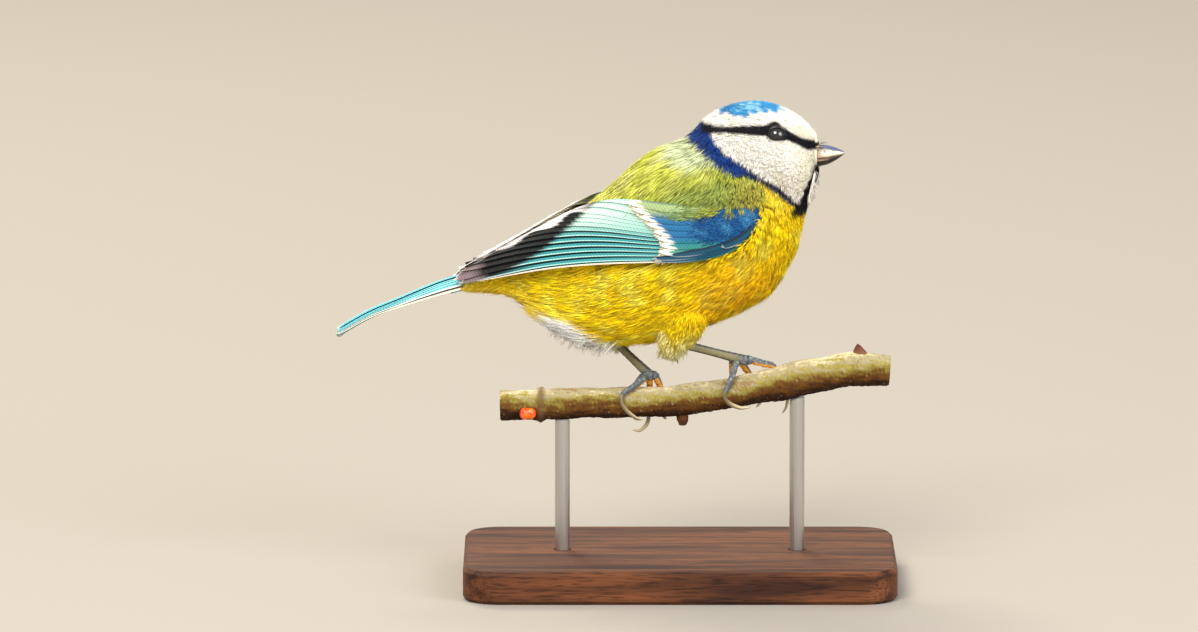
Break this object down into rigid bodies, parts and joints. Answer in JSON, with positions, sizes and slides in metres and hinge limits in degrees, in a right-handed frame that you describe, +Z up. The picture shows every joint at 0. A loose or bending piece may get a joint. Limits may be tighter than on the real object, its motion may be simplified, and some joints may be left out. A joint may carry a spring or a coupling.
{
  "type": "blue tit",
  "caption": "Life-size still model of a blue tit gripping a cut length of twig, held over a flat base by two short rods.",
  "frame": {"origin": "middle of the flat underside of the stand's base", "axes": "+Z up, +X the way the bird faces, +Y towards the bird's left side"},
  "size_m": [0.1193, 0.056, 0.1036],
  "materials": {
    "plumage_white": "soft white face feathers with a dark eye stripe and bib",
    "plumage_crown_blue": "azure cap feathers",
    "plumage_navy": "blue-black collar feathers",
    "plumage_olive": "yellow-green back feathers",
    "plumage_yellow": "bright yellow belly feathers, downy at the vent",
    "plumage_wing_blue": "blue and blue-green wing feathers with a white bar and pale edges",
    "plumage_tail_blue": "blue tail feathers with white outer edges",
    "eye": "near-black, wet and glossy",
    "bill_horn": "dark grey horn with pale cutting edges",
    "leg_skin": "blue-grey scaly skin with yellow-brown toe pads",
    "claw_horn": "translucent brown horn",
    "bark": "smooth grey-green bark, browner below",
    "bud": "orange-red bud scales",
    "stand_wood": "dark stained and oiled hardwood",
    "stand_steel": "satin steel rod"
  },
  "bodies": {
    "root": {"head": "plumage_white", "crown": "plumage_crown_blue", "neck": "plumage_navy", "mantle": "plumage_olive", "belly": "plumage_yellow", "rump": "plumage_olive", "wing_right": "plumage_wing_blue", "wing_left": "plumage_wing_blue", "tail": "plumage_tail_blue", "thigh_right": "plumage_yellow", "thigh_left": "plumage_yellow", "eye_right": "eye", "eye_left": "eye", "bill_upper": "bill_horn", "bill_lower": "bill_horn", "tarsus_right": "leg_skin", "tarsus_left": "leg_skin", "toe_right_1": "leg_skin", "toe_right_2": "leg_skin", "toe_right_3": "leg_skin", "toe_right_4": "leg_skin", "toe_left_1": "leg_skin", "toe_left_2": "leg_skin", "toe_left_3": "leg_skin", "toe_left_4": "leg_skin", "claw_right_1": "claw_horn", "claw_right_2": "claw_horn", "claw_right_3": "claw_horn", "claw_right_4": "claw_horn", "claw_left_1": "claw_horn", "claw_left_2": "claw_horn", "claw_left_3": "claw_horn", "claw_left_4": "claw_horn", "perch": "bark", "perch_bud": "bud", "stand_base": "stand_wood", "stand_rod_1": "stand_steel", "stand_rod_2": "stand_steel"}
  },
  "joints": []
}
